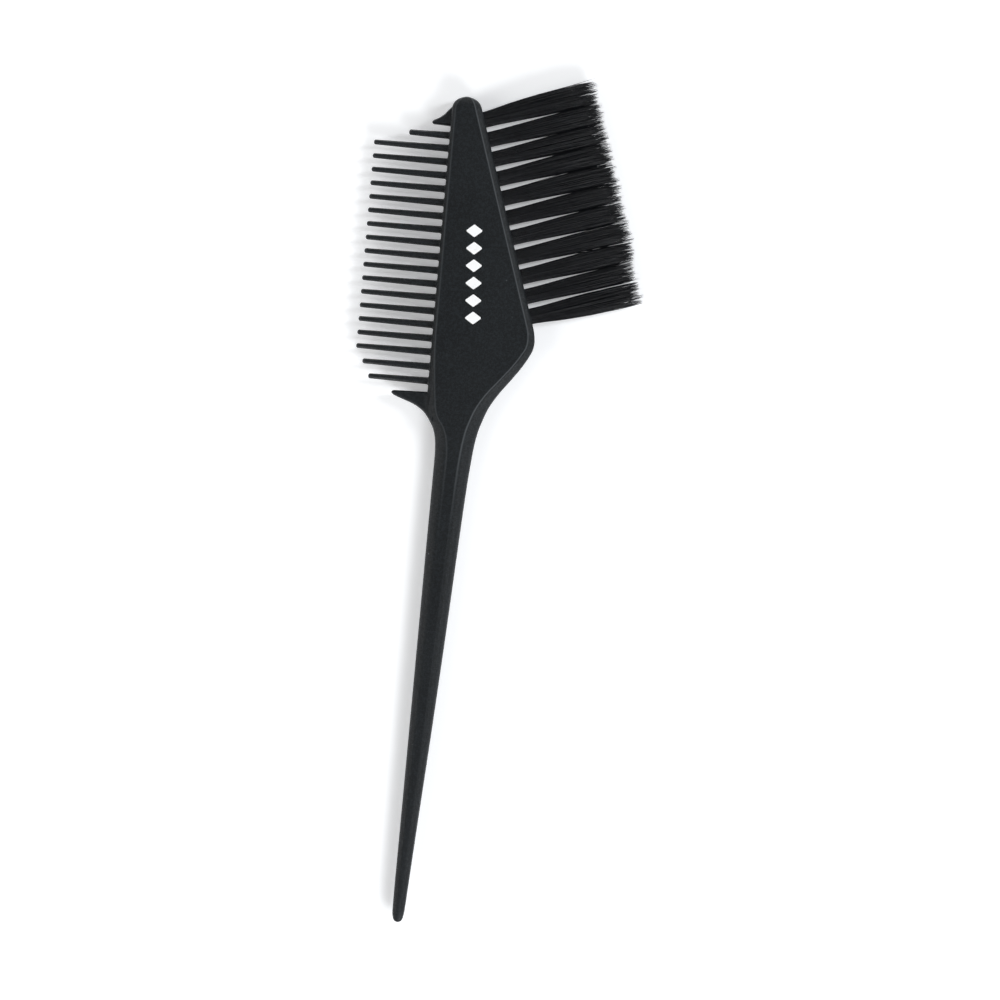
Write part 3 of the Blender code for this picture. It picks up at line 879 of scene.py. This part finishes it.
def build_tuft(number):
    name = f"bristles_{number:02d}"
    rng = np.random.default_rng(7100 + number)
    verts, quads = tubes(*tuft_paths(number, rng))
    mouth = MOUTHS[number - 1]
    verts = mouth + verts[:, 0:1] * ALONG + verts[:, 1:2] * UP + verts[:, 2:3] * OUT
    mesh = quad_mesh(name, verts, quads)
    face_outwards(mesh, recalculate=False)
    made = new_object(name, mesh)
    mesh.materials.append(NYLON)
    mesh.shade_smooth()
    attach(made, "root")
    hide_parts(TUFTS[number - 1])
    return made


bristles = [build_tuft(number) for number in range(1, len(TUFTS) + 1)]

for name, node in nodes.items():
    if name.startswith("tuft_anchor_"):
        for slot in node.material_slots:
            slot.link = "OBJECT"
            slot.material = STEEL
        if not node.material_slots:
            node.data.materials.append(STEEL)


# ------------------------------------------------------------------------------ printed motif
MOTIF_CENTRE = np.array((-1.85, -12.4))
MOTIF_ALONG = np.array((0.0707, -0.9975))  # the row's direction, towards the tail
MOTIF_ACROSS = np.array((0.9975, 0.0707))
LOZENGES, LOZENGE_PITCH = 6, 4.62
LOZENGE_HALF_ALONG, LOZENGE_HALF_ACROSS = 1.72, 2.3
LOZENGE_CORNER = 0.34
# height over the top face, and size as a share of the outline
LOZENGE_RINGS = ((-0.03, 1.0), (0.022, 1.0), (0.034, 0.988), (0.038, 0.965))


def rounded_polygon(corners, radius, steps=5):
    points = []
    for i, corner in enumerate(corners):
        back = corners[i - 1] - corner
        ahead = corners[(i + 1) % len(corners)] - corner
        back /= np.linalg.norm(back)
        ahead /= np.linalg.norm(ahead)
        half = math.acos(float(np.clip(back @ ahead, -1, 1))) / 2
        cut = radius / math.tan(half)
        bisector = (back + ahead) / np.linalg.norm(back + ahead)
        middle = corner + bisector * radius / math.sin(half)
        from_x, from_y = corner + back * cut - middle
        to_x, to_y = corner + ahead * cut - middle
        start, end = math.atan2(from_y, from_x), math.atan2(to_y, to_x)
        while end - start > math.pi:
            end -= 2 * math.pi
        while start - end > math.pi:
            end += 2 * math.pi
        for k in range(steps + 1):
            turn = start + (end - start) * k / steps
            points.append(middle + radius * np.array((math.cos(turn), math.sin(turn))))
    return points


def lozenge(centre):
    across, along = MOTIF_ACROSS * LOZENGE_HALF_ACROSS, MOTIF_ALONG * LOZENGE_HALF_ALONG
    corners = [centre + across, centre - along, centre - across, centre + along]
    outline = rounded_polygon(corners, LOZENGE_CORNER)
    middle = np.mean(outline, 0)
    return lofted(
        [
            [(*(middle + (point - middle) * share), TOP + z) for point in outline]
            for z, share in LOZENGE_RINGS
        ]
    )


def printed_motif():
    """A row of plain lozenges, printed a few hundredths of a millimetre proud of the head."""
    offsets = [i - (LOZENGES - 1) / 2 for i in range(LOZENGES)]
    solids = [lozenge(MOTIF_CENTRE + MOTIF_ALONG * LOZENGE_PITCH * k) for k in offsets]
    made = solid_object("printed_motif", solids)
    made.data.materials.append(INK)
    return made


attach(printed_motif(), "root")


# ------------------------------------------------------------------------------ stage and lights
# lengths in metres here
FLOOR_HALF, FLOOR_GAP = 6.0, 0.0001
LIGHT_TARGET = Vector((0.0, -0.06, 0.0))


def build_floor():
    bm = bmesh.new()
    bmesh.ops.create_grid(bm, x_segments=8, y_segments=8, size=FLOOR_HALF)
    mesh = bpy.data.meshes.new("floor")
    bm.to_mesh(mesh)
    bm.free()
    made = new_object("floor", mesh)
    made.location.z = cad_low.z - FLOOR_GAP
    mesh.materials.append(pale_floor())


def soft_light(name, place, size, power, colour=(1, 1, 1)):
    lamp = bpy.data.lights.new(name, "AREA")
    lamp.shape = "RECTANGLE"
    lamp.size, lamp.size_y = size
    lamp.energy = power
    lamp.color = colour
    made = new_object(name, lamp)
    made.location = place
    made.rotation_mode = "QUATERNION"
    made.rotation_quaternion = (LIGHT_TARGET - Vector(place)).to_track_quat("-Z", "Y")


def build_world():
    """A grey sky, darker overhead, that the camera itself sees as plain near-white."""
    world = bpy.data.worlds.new("studio")
    bpy.context.scene.world = world
    n = Nodes(world)
    split = n.add("ShaderNodeSeparateXYZ", {0: n.coordinates["Generated"]})
    grey = n.remap(split.outputs["Z"], span=(0.0, 0.9), to=(0.92, 0.22))
    tint = n.add("ShaderNodeCombineColor", {channel: grey for channel in range(3)})
    sky = n.tree.nodes["Background"]
    n.feed(sky.inputs["Color"], tint.outputs["Color"])
    n.feed(sky.inputs["Strength"], 0.62)
    seen = n.add("ShaderNodeBackground", {"Color": (0.975, 0.98, 0.985), "Strength": 1.0})
    rays = n.add("ShaderNodeLightPath")
    either = n.add(
        "ShaderNodeMixShader",
        {
            "Fac": rays.outputs["Is Camera Ray"],
            1: sky.outputs["Background"],
            2: seen.outputs["Background"],
        },
    )
    n.feed(n.tree.nodes["World Output"].inputs["Surface"], either.outputs["Shader"])


build_floor()
soft_light(
    "key", place=(0.62, -0.95, 0.80), size=(0.55, 0.55), power=11.0, colour=(0.97, 0.985, 1.0)
)
soft_light(
    "fill", place=(-0.95, -0.35, 0.75), size=(0.8, 0.8), power=5.0, colour=(1.0, 0.99, 0.97)
)
soft_light(
    "rim", place=(0.85, 0.30, 0.80), size=(0.16, 0.6), power=5.0, colour=(0.96, 0.98, 1.0)
)
soft_light("back", place=(-0.10, 1.15, 0.60), size=(1.0, 0.5), power=3.0)
build_world()


# ------------------------------------------------------------------------------ camera
LEAN = math.radians(5.0)  # the brush leans this far clockwise in the picture
VIEW_LENGTH = 266.0  # longer side of the view at the brush


def build_camera():
    """Looks straight down on the middle of the brush."""
    data = bpy.data.cameras.new("camera")
    data.sensor_width = 36.0
    data.lens = 120.0
    data.clip_start, data.clip_end = 0.01, 20.0
    made = new_object("camera", data)
    right = np.array((math.cos(LEAN), math.sin(LEAN)))
    up = np.array((-math.sin(LEAN), math.cos(LEAN)))
    shown = np.vstack([mesh_points(o.data)[:, :2] for o in [moulding, *bristles]])
    centre = sum(
        axis * ((shown @ axis).min() + (shown @ axis).max()) / 2 for axis in (right, up)
    )
    distance = VIEW_LENGTH / data.sensor_width * data.lens
    made.location = (centre[0] * MM, centre[1] * MM, (MID + distance) * MM)
    made.rotation_euler = (0.0, 0.0, LEAN)
    bpy.context.scene.camera = made


build_camera()
bpy.context.scene.view_settings.view_transform = "Standard"
